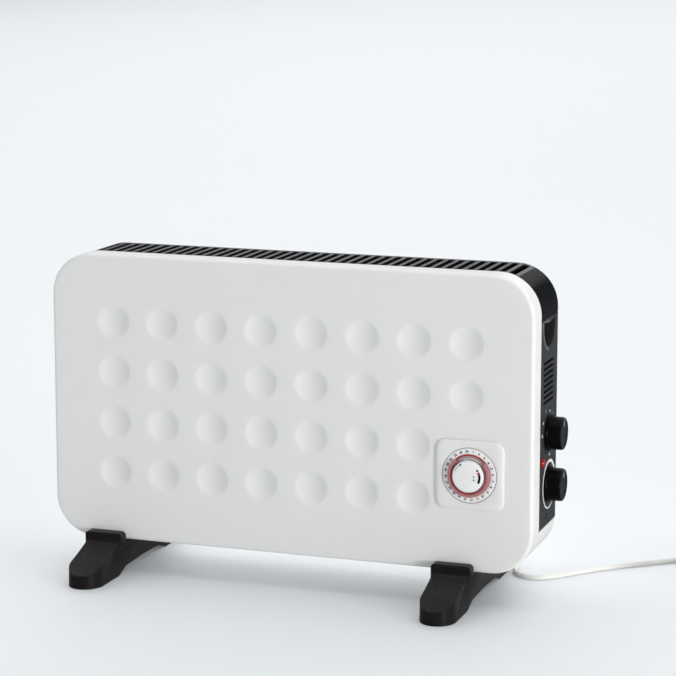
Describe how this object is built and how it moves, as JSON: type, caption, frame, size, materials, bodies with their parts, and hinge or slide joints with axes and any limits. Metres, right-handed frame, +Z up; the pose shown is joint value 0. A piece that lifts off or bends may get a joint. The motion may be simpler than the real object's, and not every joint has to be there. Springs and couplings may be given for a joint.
{
  "type": "fan convector heater",
  "caption": "Free-standing steel heater with a dimpled front, slotted top grille, moulded sides with hand recesses, side knobs, segment timer, two feet and a coiled cord.",
  "frame": {"origin": "on the floor, under the middle of the heater's box without its free cord", "axes": "+X to the right of someone facing the front panel, +Y from the front panel to the rear wall, +Z up"},
  "size_m": [0.8302, 0.389, 0.39],
  "materials": {
    "white_steel": "satin powder coat",
    "black_plastic": "satin moulded",
    "foot_plastic": "satin moulded",
    "white_plastic": "satin moulded",
    "red_plastic": "tinted, glossy",
    "red_lens": "polished",
    "plated_steel": "zinc plated",
    "grey_works": "moulded",
    "mica": "pressed sheet",
    "heating_wire": "oxidised",
    "cord_white": "satin",
    "brass": "nickel plated"
  },
  "bodies": {
    "heater": {"control_side_panel": "black_plastic", "cord_gland": "cord_white", "cord_tie": "black_plastic", "fan_bracket": "plated_steel", "fan_motor": "plated_steel", "foot_left_front": "foot_plastic", "foot_left_rear": "foot_plastic", "foot_right_front": "foot_plastic", "foot_right_rear": "foot_plastic", "foot_screw_left_front": "plated_steel", "foot_screw_left_rear": "plated_steel", "foot_screw_right_front": "plated_steel", "foot_screw_right_rear": "plated_steel", "front_panel": "white_steel", "heat_shield": "plated_steel", "heater_frame": "plated_steel", "heating_coil_front": "heating_wire", "heating_coil_rear": "heating_wire", "mica_support_1": "mica", "mica_support_2": "mica", "mica_support_3": "mica", "pilot_lamp": "red_lens", "plain_side_panel": "black_plastic", "plug_body": "cord_white", "plug_pin_1": "brass", "plug_pin_2": "brass", "power_cord": "cord_white", "power_cord_coil": "cord_white", "power_cord_tail": "cord_white", "rear_screw_1": "plated_steel", "rear_screw_2": "plated_steel", "rear_screw_3": "plated_steel", "rear_screw_4": "plated_steel", "rear_shell": "white_steel", "selector_switch": "grey_works", "side_screw_left": "plated_steel", "side_screw_right": "plated_steel", "terminal_block": "white_plastic", "thermal_cutout": "grey_works", "thermostat_body": "mica", "timer_bezel": "white_plastic", "timer_centre_cap": "white_plastic", "timer_housing": "white_plastic", "timer_motor": "plated_steel", "top_grille": "black_plastic"},
    "selector": {"selector_knob": "black_plastic", "selector_shaft": "plated_steel"},
    "thermostat": {"thermostat_knob": "black_plastic", "thermostat_shaft": "plated_steel"},
    "timer_dial": {"timer_dial": "white_plastic"},
    "tappets_pressed": {"timer_tappets_pressed": "red_plastic"},
    "tappets_raised": {"timer_tappets_raised": "red_plastic"},
    "override_lever": {"timer_override_lever": "red_plastic"},
    "fan": {"fan_impeller": "black_plastic"}
  },
  "joints": [
    {"name": "selector_turn", "type": "hinge", "parent": "heater", "child": "selector", "pos_m": [0.29045, 0.0215, 0.196], "axis": [-1, 0, 0], "range_deg": [0, 135]},
    {"name": "thermostat_turn", "type": "hinge", "parent": "heater", "child": "thermostat", "pos_m": [0.29045, 0.0215, 0.135], "axis": [-1, 0, 0], "range_deg": [0, 270]},
    {"name": "timer_turn", "type": "hinge", "parent": "heater", "child": "timer_dial", "pos_m": [0.21695, -0.055, 0.157], "axis": [0, 1, 0], "continuous": true},
    {"name": "pressed_tappets_slide", "type": "slide", "parent": "timer_dial", "child": "tappets_pressed", "axis": [0, -1, 0], "range_m": [0, 0.0055]},
    {"name": "raised_tappets_slide", "type": "slide", "parent": "timer_dial", "child": "tappets_raised", "axis": [0, 1, 0], "range_m": [0, 0.0055]},
    {"name": "override_turn", "type": "hinge", "parent": "heater", "child": "override_lever", "pos_m": [0.21695, -0.055, 0.157], "axis": [0, 1, 0], "range_deg": [0, 37]},
    {"name": "fan_spin", "type": "hinge", "parent": "heater", "child": "fan", "pos_m": [-0.04875, 0, 0.088], "axis": [0, 0, 1], "continuous": true}
  ]
}
